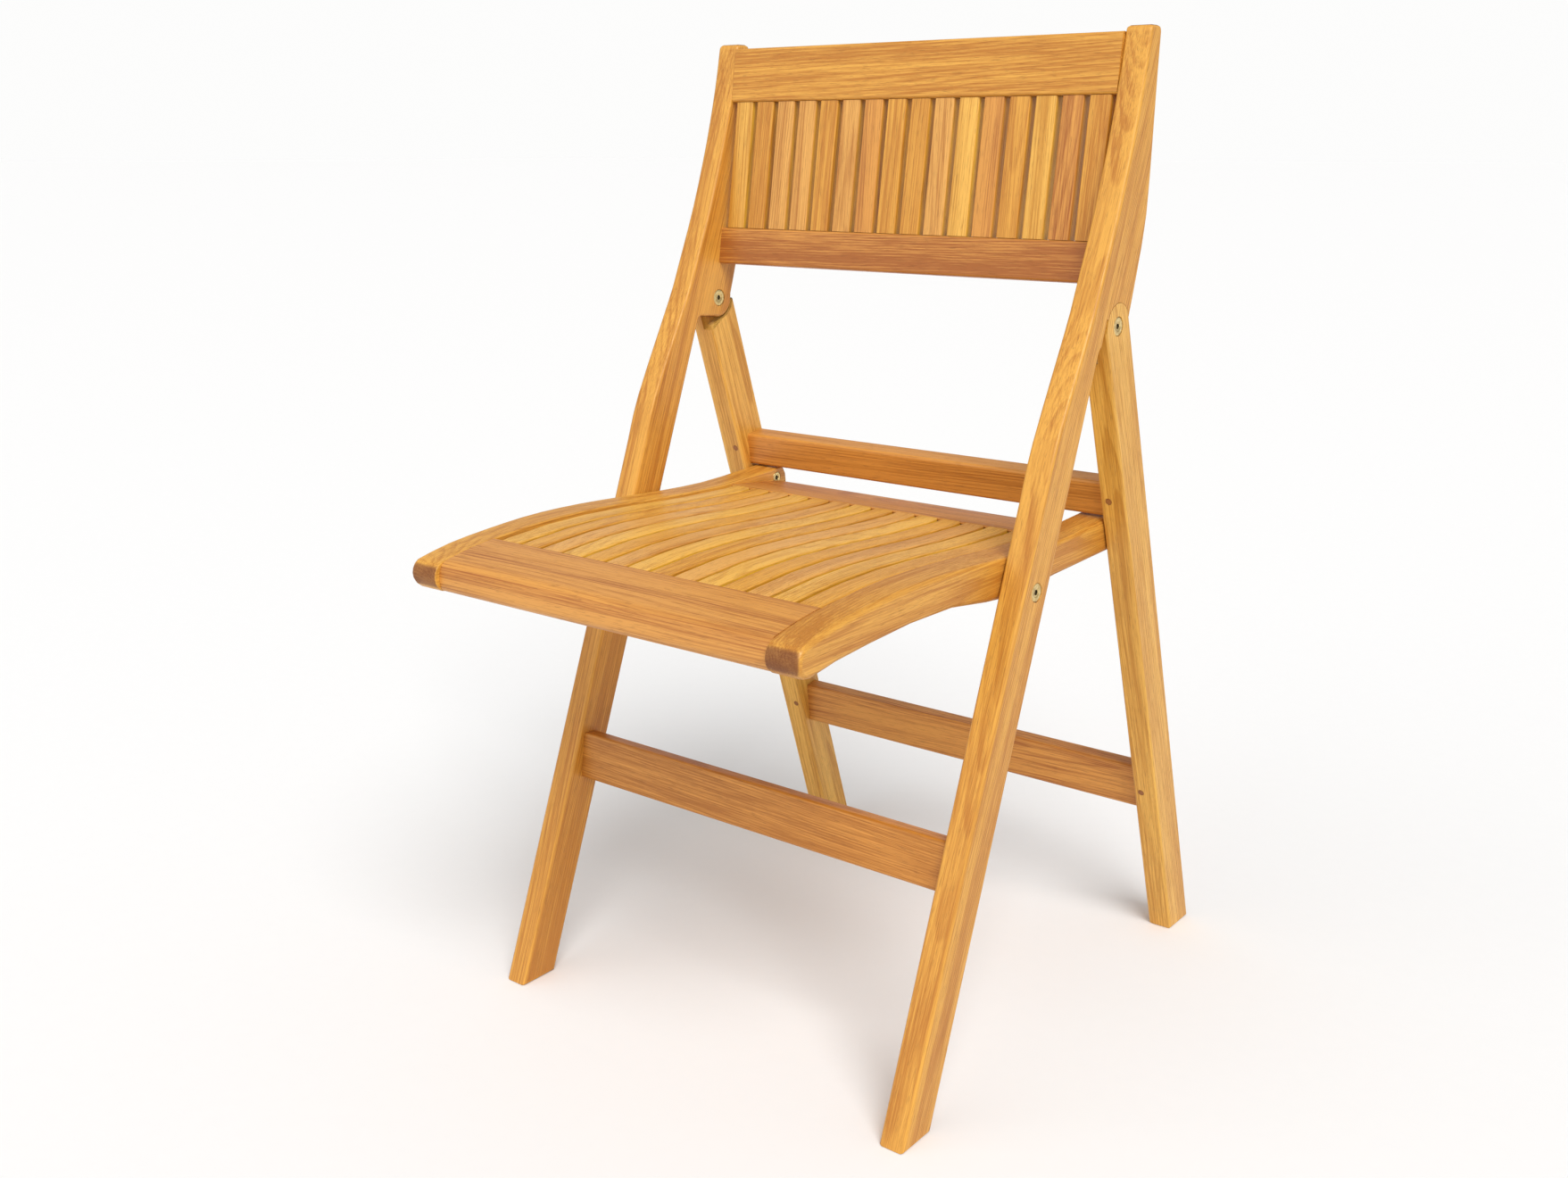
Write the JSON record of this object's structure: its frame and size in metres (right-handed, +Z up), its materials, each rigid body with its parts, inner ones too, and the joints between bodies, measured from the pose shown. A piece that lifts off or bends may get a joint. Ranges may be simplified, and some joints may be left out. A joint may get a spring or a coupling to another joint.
{
  "type": "folding chair",
  "caption": "Wooden folding chair with a slatted dished seat and slatted back, whose rear legs and seat swing flat against the bent front stiles.",
  "frame": {"origin": "on the floor, under the middle of the chair's width and depth when open", "axes": "+Z up, the chair faces -Y, +X is the right-hand side seen from in front of the chair"},
  "size_m": [0.46, 0.6366, 0.871],
  "materials": {
    "teak_honey": "oiled satin teak",
    "teak_amber": "oiled satin teak",
    "teak_pale": "oiled satin teak",
    "teak_russet": "oiled satin teak",
    "teak_pinkish": "oiled satin teak",
    "brass_plate": "satin plated hardware"
  },
  "bodies": {
    "front_frame": {"stile_left": "teak_honey", "stile_right": "teak_honey", "back_top_rail": "teak_honey", "back_lower_rail": "teak_amber", "back_slat_01": "teak_pale", "back_slat_02": "teak_honey", "back_slat_03": "teak_pinkish", "back_slat_04": "teak_pinkish", "back_slat_05": "teak_honey", "back_slat_06": "teak_pinkish", "back_slat_07": "teak_amber", "back_slat_08": "teak_honey", "back_slat_09": "teak_honey", "back_slat_10": "teak_pinkish", "back_slat_11": "teak_pale", "back_slat_12": "teak_amber", "back_slat_13": "teak_honey", "back_slat_14": "teak_pale", "back_slat_15": "teak_amber", "back_slat_16": "teak_honey", "front_lower_rail": "teak_russet", "knuckle_bolt_left": "brass_plate", "knuckle_nut_left": "brass_plate", "seat_pivot_bolt_left": "brass_plate", "seat_pivot_nut_left": "brass_plate", "knuckle_bolt_right": "brass_plate", "knuckle_nut_right": "brass_plate", "seat_pivot_bolt_right": "brass_plate", "seat_pivot_nut_right": "brass_plate"},
    "rear_frame": {"rear_leg_left": "teak_pale", "rear_leg_right": "teak_pale", "low_stretcher": "teak_amber", "high_stretcher": "teak_russet", "low_stretcher_dowel_left": "teak_amber", "low_stretcher_dowel_right": "teak_amber", "high_stretcher_dowel_left": "teak_amber", "high_stretcher_dowel_right": "teak_amber"},
    "seat": {"seat_side_rail_left": "teak_honey", "seat_side_rail_right": "teak_honey", "seat_front_rail": "teak_amber", "seat_rear_rail": "teak_amber", "seat_slat_01": "teak_pale", "seat_slat_02": "teak_honey", "seat_slat_03": "teak_pinkish", "seat_slat_04": "teak_pale", "seat_slat_05": "teak_honey", "seat_slat_06": "teak_pinkish", "seat_slat_07": "teak_pale", "seat_slat_08": "teak_honey", "seat_slat_09": "teak_pinkish", "seat_slat_10": "teak_pale", "seat_slat_11": "teak_honey", "seat_slat_12": "teak_pinkish", "seat_slat_13": "teak_pale", "seat_slat_14": "teak_honey", "seat_pin_left": "brass_plate", "seat_pin_right": "brass_plate"}
  },
  "joints": [
    {"name": "seat_fold", "type": "hinge", "parent": "front_frame", "child": "seat", "pos_m": [0, -0.03434, 0.4262], "axis": [-1, 0, 0], "range_deg": [0, 102.94]},
    {"name": "rear_legs_fold", "type": "hinge", "parent": "front_frame", "child": "rear_frame", "pos_m": [0, 0.08572, 0.6304], "axis": [-1, 0, 0], "range_deg": [0, 38]}
  ],
  "couplings": [
    {"joint": "rear_legs_fold", "follows": "seat_fold", "ratio": 0.36914}
  ]
}
